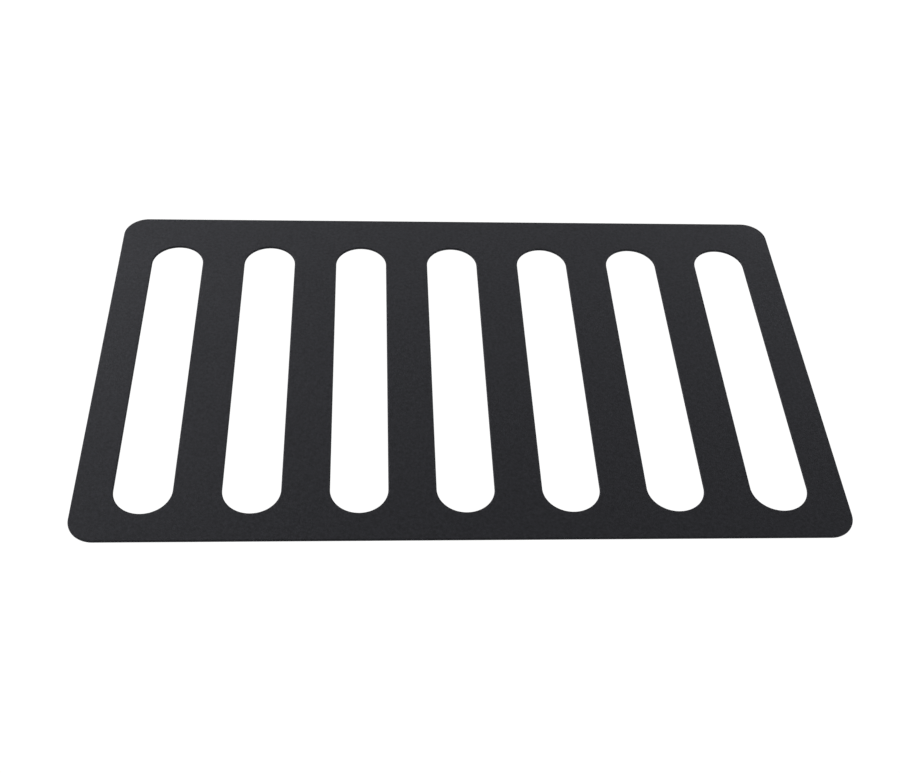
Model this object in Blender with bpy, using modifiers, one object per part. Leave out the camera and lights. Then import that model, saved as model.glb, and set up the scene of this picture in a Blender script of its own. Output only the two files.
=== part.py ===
"""Flat pedalboard: a slotted steel deck plate standing on self-adhesive rubber feet.

The player faces the board's front edge, at -Y. X runs along the board and Z is up.
The origin is on the floor, under the middle of the plate.
"""

import math

import bpy

MM = 0.001

# Deck plate, cut from one sheet.
LENGTH = 400 * MM
DEPTH = 244 * MM
SHEET = 1.5 * MM
CORNER_RADIUS = 14 * MM
EDGE_ROUND = 0.65 * MM

# Slots between the bars. A bar takes one width of hook-and-loop tape.
BAR_WIDTH = 25 * MM
SLOT_WIDTH = 30 * MM
SLOT_LENGTH = 201.5 * MM
SLOT_COUNT = 7
FRONT_RAIL = 17 * MM

# Stick-on feet: a tapered rubber foot, and a foam pad that holds it to the plate.
FOOT_RADIUS = 6.35 * MM
FOOT_HEIGHT = 3.5 * MM
FOOT_TAPER = 0.45 * MM
FOOT_EDGE_ROUND = 0.7 * MM
FOAM_RADIUS = 5.9 * MM
FOAM_THICKNESS = 0.4 * MM
CLEARANCE = 0.3 * MM

# The corner feet are concentric with the plate's corners, and each inner foot is under a bar.
CORNER_FOOT_X = LENGTH / 2 - CORNER_RADIUS
INNER_FOOT_X = 1.5 * (BAR_WIDTH + SLOT_WIDTH)
FOOT_Y = DEPTH / 2 - CORNER_RADIUS
FOOT_COLUMNS = {
    "left": -CORNER_FOOT_X,
    "mid_left": -INNER_FOOT_X,
    "mid_right": INNER_FOOT_X,
    "right": CORNER_FOOT_X,
}
FOOT_ROWS = {"front": -FOOT_Y, "back": FOOT_Y}

# Heights, from the floor up.
FOAM_BOTTOM = FOOT_HEIGHT + CLEARANCE
PLATE_BOTTOM = FOAM_BOTTOM + FOAM_THICKNESS + CLEARANCE

# Finishes: base colour, roughness and metallic value.
POWDER_COAT = ((0.024, 0.024, 0.028), 0.55, 0)
RUBBER = ((0.018, 0.018, 0.018), 0.7, 0)
FOAM = ((0.54, 0.54, 0.52), 0.9, 0)

# Fineness of the round stretches.
QUARTER_ARC_STEPS = 8
EDGE_ROUND_SEGMENTS = 2
FOOT_EDGE_STEPS = 3
TURNED_STEPS = 24
SHARP_ANGLE = math.radians(35)
MERGE = 0.02 * MM


def clear_scene():
    for found in list(bpy.data.objects):
        bpy.data.objects.remove(found)


def make_material(name, colour, roughness, metallic):
    material = bpy.data.materials.new(name)
    material.use_nodes = True
    shader = material.node_tree.nodes["Principled BSDF"]
    shader.inputs["Base Color"].default_value = (*colour, 1)
    shader.inputs["Roughness"].default_value = roughness
    shader.inputs["Metallic"].default_value = metallic
    return material


def rounded_outline(centre_x, centre_y, width, depth, radius):
    """Points round a rectangle with rounded corners. A radius of half the width makes a slot."""
    points = []
    for corner, (side_x, side_y) in enumerate([(1, 1), (-1, 1), (-1, -1), (1, -1)]):
        arc_x = centre_x + side_x * (width / 2 - radius)
        arc_y = centre_y + side_y * (depth / 2 - radius)
        for step in range(QUARTER_ARC_STEPS + 1):
            angle = math.pi / 2 * (corner + step / QUARTER_ARC_STEPS)
            point = (arc_x + radius * math.cos(angle), arc_y + radius * math.sin(angle))
            if not points or math.dist(point, points[-1]) > MERGE:
                points.append(point)
    if math.dist(points[0], points[-1]) < MERGE:
        points.pop()
    return points


def add_outline(curve, points):
    spline = curve.splines.new("POLY")
    spline.points.add(len(points) - 1)
    for target, (x, y) in zip(spline.points, points):
        target.co = (x, y, 0, 1)
    spline.use_cyclic_u = True


def slot_centres():
    middle = (SLOT_COUNT - 1) / 2
    for number in range(SLOT_COUNT):
        yield (number - middle) * (BAR_WIDTH + SLOT_WIDTH)


def make_deck_plate(collection, assembly):
    """The sheet's outline and its slots as one filled flat curve, thickened and edge-rounded."""
    curve = bpy.data.curves.new("deck_plate", "CURVE")
    curve.dimensions = "2D"
    curve.fill_mode = "BOTH"
    curve.extrude = SHEET / 2
    add_outline(curve, rounded_outline(0, 0, LENGTH, DEPTH, CORNER_RADIUS))
    slot_y = -DEPTH / 2 + FRONT_RAIL + SLOT_LENGTH / 2
    for slot_x in slot_centres():
        slot = rounded_outline(slot_x, slot_y, SLOT_WIDTH, SLOT_LENGTH, SLOT_WIDTH / 2)
        add_outline(curve, slot)
    curve.materials.append(make_material("black_powder_coat", *POWDER_COAT))

    plate = bpy.data.objects.new("deck_plate", curve)
    collection.objects.link(plate)
    weld = plate.modifiers.new("join_caps", "WELD")
    weld.merge_threshold = MERGE
    bevel = plate.modifiers.new("rounded_edges", "BEVEL")
    bevel.width = EDGE_ROUND
    bevel.segments = EDGE_ROUND_SEGMENTS
    bevel.limit_method = "ANGLE"
    bevel.angle_limit = SHARP_ANGLE
    bevel.use_clamp_overlap = False
    plate.parent = assembly
    plate.location.z = PLATE_BOTTOM + SHEET / 2


def turned_mesh(name, profile, material):
    """The half outline of a round piece, which a Screw modifier turns about Z."""
    mesh = bpy.data.meshes.new(name)
    edges = [(index, index + 1) for index in range(len(profile) - 1)]
    mesh.from_pydata([(x, 0, z) for x, z in profile], edges, [])
    mesh.materials.append(material)
    return mesh


def add_turned_piece(name, mesh, collection, assembly, place):
    piece = bpy.data.objects.new(name, mesh)
    collection.objects.link(piece)
    screw = piece.modifiers.new("turn", "SCREW")
    screw.steps = TURNED_STEPS
    screw.render_steps = TURNED_STEPS
    screw.use_merge_vertices = True
    screw.merge_threshold = MERGE
    screw.use_smooth_shade = True
    piece.parent = assembly
    piece.location = place


def foot_profile():
    """Down the foot's outer side: a flat top, a tapered wall, a rounded edge and a flat sole."""
    sole_radius = FOOT_RADIUS - FOOT_TAPER - FOOT_EDGE_ROUND
    points = [(0, FOOT_HEIGHT), (FOOT_RADIUS, FOOT_HEIGHT)]
    for step in range(FOOT_EDGE_STEPS + 1):
        angle = math.pi / 2 * step / FOOT_EDGE_STEPS
        x = sole_radius + FOOT_EDGE_ROUND * math.cos(angle)
        z = FOOT_EDGE_ROUND * (1 - math.sin(angle))
        points.append((x, z))
    points.append((0, 0))
    return points


def foam_profile():
    """A plain disc."""
    return [(0, FOAM_THICKNESS), (FOAM_RADIUS, FOAM_THICKNESS), (FOAM_RADIUS, 0), (0, 0)]


def make_feet(collection, assembly):
    rubber = make_material("black_rubber", *RUBBER)
    foam = make_material("adhesive_foam", *FOAM)
    foot_mesh = turned_mesh("foot", foot_profile(), rubber)
    foam_mesh = turned_mesh("foam_pad", foam_profile(), foam)
    for row, y in FOOT_ROWS.items():
        for column, x in FOOT_COLUMNS.items():
            spot = f"{row}_{column}"
            add_turned_piece(f"foot_{spot}", foot_mesh, collection, assembly, (x, y, 0))
            add_turned_piece(f"foam_pad_{spot}", foam_mesh, collection, assembly, (x, y, FOAM_BOTTOM))


def main():
    clear_scene()
    collection = bpy.data.collections.new("pedalboard")
    bpy.context.scene.collection.children.link(collection)
    assembly = bpy.data.objects.new("pedalboard", None)
    collection.objects.link(assembly)
    make_deck_plate(collection, assembly)
    make_feet(collection, assembly)


main()
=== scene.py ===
"""Looks of the flat pedalboard: a powder-coated slotted plate on stick-on feet, in a white studio."""

import math

import bmesh
import bpy
from mathutils import Matrix, Vector


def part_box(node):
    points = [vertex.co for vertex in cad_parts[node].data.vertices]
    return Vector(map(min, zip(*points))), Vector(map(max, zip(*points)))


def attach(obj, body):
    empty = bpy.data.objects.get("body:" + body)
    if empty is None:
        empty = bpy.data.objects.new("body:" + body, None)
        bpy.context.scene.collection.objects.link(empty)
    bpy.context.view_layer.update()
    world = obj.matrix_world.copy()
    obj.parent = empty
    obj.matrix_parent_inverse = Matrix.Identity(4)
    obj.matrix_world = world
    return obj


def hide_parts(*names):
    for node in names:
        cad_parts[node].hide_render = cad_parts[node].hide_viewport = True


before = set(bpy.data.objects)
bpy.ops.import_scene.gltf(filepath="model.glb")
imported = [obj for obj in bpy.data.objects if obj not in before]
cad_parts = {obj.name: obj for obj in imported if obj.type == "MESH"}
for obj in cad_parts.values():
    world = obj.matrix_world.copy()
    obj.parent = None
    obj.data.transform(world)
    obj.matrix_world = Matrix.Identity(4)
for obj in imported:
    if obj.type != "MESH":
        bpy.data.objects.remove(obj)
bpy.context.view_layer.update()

MM = 0.001

# The plate's outline, as in the CAD model. Its length, depth and heights are read from the frame.
CORNER_RADIUS = 14 * MM
EDGE_ROUND = 0.65 * MM
BAR_WIDTH = 25 * MM
SLOT_WIDTH = 30 * MM
SLOT_LENGTH = 201.5 * MM
SLOT_COUNT = 7
FRONT_RAIL = 17 * MM

# The stick-on feet, a row of them under each long rail.
FOOT_TAPER = 0.45 * MM
FOOT_TOP_ROUND = 0.1 * MM
FOOT_EDGE_ROUND = 0.7 * MM
FOAM_BULGE = 0.12 * MM
ROWS = ("front", "back")
COLUMNS = ("left", "mid_left", "mid_right", "right")
PLACES = [f"{row}_{column}" for row in ROWS for column in COLUMNS]

# Fineness.
QUARTER_ARC_STEPS = 28
EDGE_STEPS = 6
TURNED_STEPS = 72
SHARP_ANGLE = math.radians(40)

# Powder coat: its two tones, then the size and height of its grains, its mottling and its waves.
# The pits between grains lie at GRAIN_REACH, a share of the grain size, from a grain's middle.
COAT_DARK = (0.0145, 0.0146, 0.0168)
COAT_LIGHT = (0.0335, 0.0337, 0.0387)
COAT_ROUGHNESS = (0.53, 0.58)
GRAIN_SIZE = 0.45 * MM
GRAIN_HEIGHT = 0.045 * MM
GRAIN_REACH = 0.8
MOTTLE_SIZE = 1.6 * MM
MOTTLE_HEIGHT = 0.03 * MM
WAVE_SIZE = 4 * MM
WAVE_HEIGHT = 0.045 * MM
GLOSS_PATCH_SIZE = 45 * MM

# Rubber of the feet, and the film of dust on it.
RUBBER_CLEAN = (0.012, 0.012, 0.012)
RUBBER_DUSTY = (0.030, 0.029, 0.028)
RUBBER_ROUGHNESS = (0.62, 0.80)
RUBBER_GRAIN_SIZE = 0.25 * MM
RUBBER_GRAIN_HEIGHT = 0.015 * MM
DUST_SIZE = 2.5 * MM
DUST_START = 0.4
DUST_FULL = 0.75

# Foam of the pads.
FOAM_DARK = (0.42, 0.42, 0.40)
FOAM_LIGHT = (0.66, 0.66, 0.63)
FOAM_ROUGHNESS = 0.9
FOAM_CELL_SIZE = 0.18 * MM
FOAM_CELL_HEIGHT = 0.04 * MM
FOAM_CELL_HARSHNESS = 0.7

# How far a texture is turned about X, Y and Z, in radians.
TEXTURE_TURN = (0.6, 0.9, 0.4)

# The camera looks down at the board from in front of it and a little to its left. Its lens and its
# sensor are in millimetres.
CAMERA_AIM = Vector((-5.2, -18.6, 6.0)) * MM
CAMERA_DISTANCE = 709 * MM
CAMERA_AZIMUTH = math.radians(-5.27)
CAMERA_ELEVATION = math.radians(47.54)
CAMERA_ROLL = math.radians(3.95)
CAMERA_LENS = 51.07
SENSOR_WIDTH = 36
NEAREST_SEEN = 10 * MM

# Light: the radiance of the surroundings, and softboxes round the board. DAYLIGHT tints both where
# they light the board. Each softbox is a bearing in degrees clockwise from the back, then a
# distance, a height above the floor and a width in metres, and a power in watts.
WHITE_GLOW = 1.05
SKY_LIGHT = 0.12
GROUND_LIGHT = 0.33
HORIZON_BLEND = 0.15
DAYLIGHT = (0.99, 1, 1.07)
SOFTBOXES = {
    "back_left": (-45, 2.0, 1.0, 1.2, 11.1),
    "back": (-15, 2.0, 1.0, 1.2, 3.9),
    "low_back": (15, 1.1, 0.3, 0.7, 0.8),
    "low_back_right": (45, 1.1, 0.3, 0.7, 1.2),
    "left": (-90, 2.0, 0.5, 1.2, 3.0),
    "right": (90, 2.0, 0.5, 1.2, 3.0),
    "front_left": (-135, 2.0, 0.5, 1.2, 5.0),
    "front_right": (135, 2.0, 0.5, 1.2, 4.5),
}
SOFTBOX_SHAPE = 0.42
FLOOR_RADIUS = 12
FLOOR_SIDES = 64
FLOOR_GAP = 0.02 * MM


def outline(centre, size, radius, into_metal, hole):
    """Points round a rectangle with rounded corners, as (x, y, outward x, outward y).

    into_metal moves the line away from the drawn edge, into the plate: inwards round the plate,
    outwards round a hole. A radius of half the width makes a slot.
    """
    grow = into_metal if hole else -into_metal
    half_x, half_y = size[0] / 2, size[1] / 2
    points = []
    for corner, (side_x, side_y) in enumerate([(1, 1), (-1, 1), (-1, -1), (1, -1)]):
        arc_x = centre[0] + side_x * (half_x - radius)
        arc_y = centre[1] + side_y * (half_y - radius)
        # The two arcs at an end of a slot meet in one point, which the first of them has made.
        starts_shared = half_x == radius and corner in (1, 3)
        for step in range(1 if starts_shared else 0, QUARTER_ARC_STEPS + 1):
            angle = math.pi / 2 * (corner + step / QUARTER_ARC_STEPS)
            out_x, out_y = math.cos(angle), math.sin(angle)
            reach = radius + grow
            points.append((arc_x + reach * out_x, arc_y + reach * out_y, out_x, out_y))
    return points


def edge_profile(bottom, top):
    """Down a rounded edge, as (distance into the metal, height, and the normal's parts out and up)."""
    profile = []
    for side, level in ((1, top), (-1, bottom)):
        arc = []
        for step in range(EDGE_STEPS + 1):
            angle = math.pi / 2 * step / EDGE_STEPS
            inset = EDGE_ROUND * (1 - math.sin(angle))
            height = level - side * EDGE_ROUND * (1 - math.cos(angle))
            arc.append((inset, height, math.sin(angle), side * math.cos(angle)))
        profile += arc if side > 0 else arc[::-1]
    return profile


def plate_shapes():
    """The plate's outline and its slots, as (centre, size, corner radius, whether it is a hole)."""
    low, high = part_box("deck_plate")
    shapes = [((0, 0), (high.x - low.x, high.y - low.y), CORNER_RADIUS, False)]
    slot_y = low.y + FRONT_RAIL + SLOT_LENGTH / 2
    for number in range(SLOT_COUNT):
        slot_x = (number - (SLOT_COUNT - 1) / 2) * (BAR_WIDTH + SLOT_WIDTH)
        shapes.append(((slot_x, slot_y), (SLOT_WIDTH, SLOT_LENGTH), SLOT_WIDTH / 2, True))
    return shapes


def round_pairs(ring):
    """Each item of a closed ring with the one after it."""
    return zip(ring, ring[1:] + ring[:1])


def join_rings(work, rings):
    """Faces between each ring of vertices and the next, or triangles towards a ring that is a point."""
    for upper, lower in zip(rings, rings[1:]):
        for (above, above_next), (below, below_next) in zip(round_pairs(upper), round_pairs(lower)):
            corners = (above, below, below_next, above_next)
            work.faces.new(list(dict.fromkeys(corners)))


def make_plate():
    """Every edge of the plate as rings that follow its outline, closed above and below by flat faces."""
    low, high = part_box("deck_plate")
    work = bmesh.new()
    normals = []
    rims = {"top": [], "bottom": []}
    for centre, size, radius, hole in plate_shapes():
        facing = -1 if hole else 1
        rings = []
        for inset, height, out, up in edge_profile(low.z, high.z):
            ring = []
            for x, y, out_x, out_y in outline(centre, size, radius, inset, hole):
                ring.append(work.verts.new((x, y, height)))
                normals.append(Vector((facing * out * out_x, facing * out * out_y, up)))
            rings.append(ring)
        join_rings(work, rings)
        for rim, ring in (("top", rings[0]), ("bottom", rings[-1])):
            rims[rim] += [work.edges.get(ends) for ends in round_pairs(ring)]
    for edges in rims.values():
        bmesh.ops.triangle_fill(work, use_beauty=True, edges=edges)
    bmesh.ops.recalc_face_normals(work, faces=work.faces)
    for face in work.faces:
        face.smooth = True
    mesh = bpy.data.meshes.new("plate")
    work.to_mesh(mesh)
    work.free()
    mesh.normals_split_custom_set_from_vertices(normals)
    add_piece("powder_coated_plate", mesh, "deck_plate", "powder_coat")


def turned_mesh(name, profile):
    """A round solid about Z. Its half outline is given as (radius, height), from the top down."""
    work = bmesh.new()
    rings = []
    for radius, height in profile:
        if radius == 0:
            rings.append([work.verts.new((0, 0, height))] * TURNED_STEPS)
            continue
        ring = []
        for step in range(TURNED_STEPS):
            angle = math.tau * step / TURNED_STEPS
            ring.append(work.verts.new((radius * math.cos(angle), radius * math.sin(angle), height)))
        rings.append(ring)
    join_rings(work, rings)
    bmesh.ops.recalc_face_normals(work, faces=work.faces)
    mesh = bpy.data.meshes.new(name)
    work.to_mesh(mesh)
    work.free()
    mesh.shade_smooth()
    mesh.set_sharp_from_angle(angle=SHARP_ANGLE)
    return mesh


def foot_mesh():
    """A tapered rubber foot with a rounded lower edge and a flat sole. Its origin is in the sole."""
    low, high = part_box("foot_front_left")
    radius = (high.x - low.x) / 2
    height = high.z - low.z
    wall_radius = radius - FOOT_TAPER
    profile = [(0, height), (radius - FOOT_TOP_ROUND, height), (radius, height - FOOT_TOP_ROUND)]
    for step in range(EDGE_STEPS + 1):
        angle = math.pi / 2 * step / EDGE_STEPS
        x = wall_radius - FOOT_EDGE_ROUND * (1 - math.cos(angle))
        profile.append((x, FOOT_EDGE_ROUND * (1 - math.sin(angle))))
    profile.append((0, 0))
    return turned_mesh("foot", profile)


def foam_mesh():
    """The foam pad, which fills the space between a foot and the plate and bulges a little."""
    foot_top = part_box("foot_front_left")[1].z
    plate_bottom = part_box("deck_plate")[0].z
    low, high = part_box("foam_pad_front_left")
    radius = (high.x - low.x) / 2
    height = plate_bottom - foot_top
    profile = [(0, height)]
    for step in range(EDGE_STEPS + 1):
        share = step / EDGE_STEPS
        profile.append((radius + FOAM_BULGE * math.sin(math.pi * share), height * (1 - share)))
    profile.append((0, 0))
    return turned_mesh("foam", profile)


def make_feet():
    foot, foam = foot_mesh(), foam_mesh()
    for place in PLACES:
        low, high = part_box(f"foot_{place}")
        middle = (low + high) / 2
        sole = Vector((middle.x, middle.y, low.z))
        add_piece(f"rubber_foot_{place}", foot, f"foot_{place}", "rubber", sole)
        foot_top = Vector((middle.x, middle.y, high.z))
        add_piece(f"foam_{place}", foam, f"foam_pad_{place}", "adhesive_foam", foot_top)


def add_piece(name, mesh, cad_node, slot, place=(0, 0, 0)):
    """Adds a piece that stands for a CAD node and moves with the board."""
    piece = bpy.data.objects.new(name, mesh)
    bpy.context.scene.collection.objects.link(piece)
    piece.location = place
    if not mesh.materials:
        mesh.materials.append(MATERIALS[slot])
    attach(piece, "root")
    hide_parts(cad_node)


def new_material(name):
    """A new material, its node tree and its Principled shader."""
    material = bpy.data.materials.new(name)
    material.use_nodes = True
    tree = material.node_tree
    return material, tree, tree.nodes["Principled BSDF"]


def texture(tree, kind, size):
    """A texture node whose features are about this size in metres, fixed to the object.

    It is turned askew, because a flat face that cuts a texture along its own grid would show that grid.
    """
    coordinates = tree.nodes.new("ShaderNodeTexCoord")
    turn = tree.nodes.new("ShaderNodeMapping")
    turn.inputs["Rotation"].default_value = TEXTURE_TURN
    node = tree.nodes.new(kind)
    node.inputs["Scale"].default_value = 1 / size
    tree.links.new(coordinates.outputs["Object"], turn.inputs["Vector"])
    tree.links.new(turn.outputs["Vector"], node.inputs["Vector"])
    return node


def noise(tree, size, detail=2, roughness=0.5):
    node = texture(tree, "ShaderNodeTexNoise", size)
    node.inputs["Detail"].default_value = detail
    node.inputs["Roughness"].default_value = roughness
    return node.outputs["Fac"]


def grains(tree, size):
    """Rounded grains side by side: 1 in the middle of a grain, and 0 in the pits between them."""
    node = texture(tree, "ShaderNodeTexVoronoi", size)
    return spread(tree, node.outputs["Distance"], 1, 0, 0, GRAIN_REACH)


def spread(tree, value, low, high, start=0.3, end=0.7):
    """Maps start to low and end to high. Most values of a noise lie between the two defaults."""
    node = tree.nodes.new("ShaderNodeMapRange")
    node.inputs["From Min"].default_value = start
    node.inputs["From Max"].default_value = end
    node.inputs["To Min"].default_value = low
    node.inputs["To Max"].default_value = high
    tree.links.new(value, node.inputs["Value"])
    return node.outputs["Result"]


def blend_colours(tree, factor, first, second):
    node = tree.nodes.new("ShaderNodeMix")
    node.data_type = "RGBA"
    node.inputs["A"].default_value = (*first, 1)
    node.inputs["B"].default_value = (*second, 1)
    tree.links.new(factor, node.inputs["Factor"])
    return node.outputs["Result"]


def add_relief(tree, shader, layers):
    """Chains one bump for each (relief from 0 to 1, height in metres)."""
    normal = None
    for relief, height in layers:
        bump = tree.nodes.new("ShaderNodeBump")
        bump.inputs["Distance"].default_value = height
        tree.links.new(relief, bump.inputs["Height"])
        if normal:
            tree.links.new(normal, bump.inputs["Normal"])
        normal = bump.outputs["Normal"]
    tree.links.new(normal, shader.inputs["Normal"])


def powder_coat():
    """Matte black powder coat: fine grains and mottling over faint waves, and a slightly uneven gloss."""
    material, tree, shader = new_material("powder_coat")
    mottle = noise(tree, MOTTLE_SIZE)
    colour = blend_colours(tree, spread(tree, mottle, 0, 1), COAT_DARK, COAT_LIGHT)
    tree.links.new(colour, shader.inputs["Base Color"])
    gloss_patches = noise(tree, GLOSS_PATCH_SIZE)
    tree.links.new(spread(tree, gloss_patches, *COAT_ROUGHNESS), shader.inputs["Roughness"])
    waves = noise(tree, WAVE_SIZE, detail=1)
    grain = grains(tree, GRAIN_SIZE)
    add_relief(tree, shader, [(waves, WAVE_HEIGHT), (mottle, MOTTLE_HEIGHT), (grain, GRAIN_HEIGHT)])
    return material


def rubber():
    """Moulded black rubber: dull, slightly dusty, with a fine matte texture."""
    material, tree, shader = new_material("rubber")
    dust = noise(tree, DUST_SIZE, detail=4)
    dusted = spread(tree, dust, 0, 1, DUST_START, DUST_FULL)
    colour = blend_colours(tree, dusted, RUBBER_CLEAN, RUBBER_DUSTY)
    tree.links.new(colour, shader.inputs["Base Color"])
    tree.links.new(spread(tree, dust, *RUBBER_ROUGHNESS), shader.inputs["Roughness"])
    add_relief(tree, shader, [(noise(tree, RUBBER_GRAIN_SIZE, detail=3), RUBBER_GRAIN_HEIGHT)])
    return material


def foam():
    """Pale closed-cell foam, with its cells showing on the cut edge."""
    material, tree, shader = new_material("adhesive_foam")
    cells = noise(tree, FOAM_CELL_SIZE, roughness=FOAM_CELL_HARSHNESS)
    colour = blend_colours(tree, spread(tree, cells, 0, 1), FOAM_DARK, FOAM_LIGHT)
    tree.links.new(colour, shader.inputs["Base Color"])
    shader.inputs["Roughness"].default_value = FOAM_ROUGHNESS
    add_relief(tree, shader, [(cells, FOAM_CELL_HEIGHT)])
    return material


def make_camera():
    data = bpy.data.cameras.new("camera")
    data.sensor_width = SENSOR_WIDTH
    data.lens = CAMERA_LENS
    data.clip_start = NEAREST_SEEN
    camera = bpy.data.objects.new("camera", data)
    bpy.context.scene.collection.objects.link(camera)
    flat = math.cos(CAMERA_ELEVATION)
    sideways = math.sin(CAMERA_AZIMUTH) * flat
    forwards = math.cos(CAMERA_AZIMUTH) * flat
    back = Vector((sideways, -forwards, math.sin(CAMERA_ELEVATION)))
    turn = (-back).to_track_quat("-Z", "Y").to_matrix().to_4x4()
    roll = Matrix.Rotation(CAMERA_ROLL, 4, "Z")
    camera.matrix_world = Matrix.Translation(CAMERA_AIM + back * CAMERA_DISTANCE) @ turn @ roll
    bpy.context.scene.camera = camera


def make_floor():
    """A glowing white floor that takes no shadow, lights nothing and is seen only from above."""
    work = bmesh.new()
    bmesh.ops.create_circle(work, cap_ends=True, segments=FLOOR_SIDES, radius=FLOOR_RADIUS)
    mesh = bpy.data.meshes.new("floor")
    work.to_mesh(mesh)
    work.free()
    floor = bpy.data.objects.new("floor", mesh)
    bpy.context.scene.collection.objects.link(floor)
    floor.location.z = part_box("foot_front_left")[0].z - FLOOR_GAP
    floor.visible_diffuse = False
    floor.visible_glossy = False
    floor.visible_shadow = False

    material = bpy.data.materials.new("floor")
    material.use_nodes = True
    tree = material.node_tree
    tree.nodes.clear()
    glow = tree.nodes.new("ShaderNodeEmission")
    glow.inputs["Strength"].default_value = WHITE_GLOW
    clear = tree.nodes.new("ShaderNodeBsdfTransparent")
    side = tree.nodes.new("ShaderNodeNewGeometry")
    mix = tree.nodes.new("ShaderNodeMixShader")
    output = tree.nodes.new("ShaderNodeOutputMaterial")
    tree.links.new(side.outputs["Backfacing"], mix.inputs["Fac"])
    tree.links.new(glow.outputs["Emission"], mix.inputs[1])
    tree.links.new(clear.outputs["BSDF"], mix.inputs[2])
    tree.links.new(mix.outputs["Shader"], output.inputs["Surface"])
    mesh.materials.append(material)


def make_world():
    """White where it is seen. Where it lights the board, it is dimmer above the horizon than below it."""
    world = bpy.data.worlds.new("studio")
    bpy.context.scene.world = world
    world.use_nodes = True
    tree = world.node_tree
    tree.nodes.clear()
    coordinates = tree.nodes.new("ShaderNodeTexCoord")
    split = tree.nodes.new("ShaderNodeSeparateXYZ")
    tree.links.new(coordinates.outputs["Generated"], split.inputs["Vector"])
    level = spread(tree, split.outputs["Z"], GROUND_LIGHT, SKY_LIGHT, -HORIZON_BLEND, HORIZON_BLEND)
    seen = tree.nodes.new("ShaderNodeLightPath")
    pick = tree.nodes.new("ShaderNodeMix")
    pick.inputs["B"].default_value = WHITE_GLOW
    tree.links.new(seen.outputs["Is Camera Ray"], pick.inputs["Factor"])
    tree.links.new(level, pick.inputs["A"])
    tint = blend_colours(tree, seen.outputs["Is Camera Ray"], DAYLIGHT, (1, 1, 1))
    background = tree.nodes.new("ShaderNodeBackground")
    tree.links.new(tint, background.inputs["Color"])
    tree.links.new(pick.outputs["Result"], background.inputs["Strength"])
    output = tree.nodes.new("ShaderNodeOutputWorld")
    tree.links.new(background.outputs["Background"], output.inputs["Surface"])


def add_softbox(name, bearing, distance, height, width, power):
    """A soft rectangular lamp, wider than it is tall, aimed at the middle of the board."""
    data = bpy.data.lights.new(f"softbox_{name}", "AREA")
    data.shape = "RECTANGLE"
    data.size = width
    data.size_y = width * SOFTBOX_SHAPE
    data.energy = power
    data.color = DAYLIGHT
    lamp = bpy.data.objects.new(data.name, data)
    bpy.context.scene.collection.objects.link(lamp)
    turn = math.radians(bearing)
    place = Vector((distance * math.sin(turn), distance * math.cos(turn), height))
    lamp.location = place
    lamp.rotation_mode = "QUATERNION"
    lamp.rotation_quaternion = (-place).to_track_quat("-Z", "Y")
    lamp.visible_camera = False


MATERIALS = {"powder_coat": powder_coat(), "rubber": rubber(), "adhesive_foam": foam()}
make_plate()
make_feet()
make_camera()
make_floor()
make_world()
for name, softbox in SOFTBOXES.items():
    add_softbox(name, *softbox)
bpy.context.scene.view_settings.view_transform = "Standard"
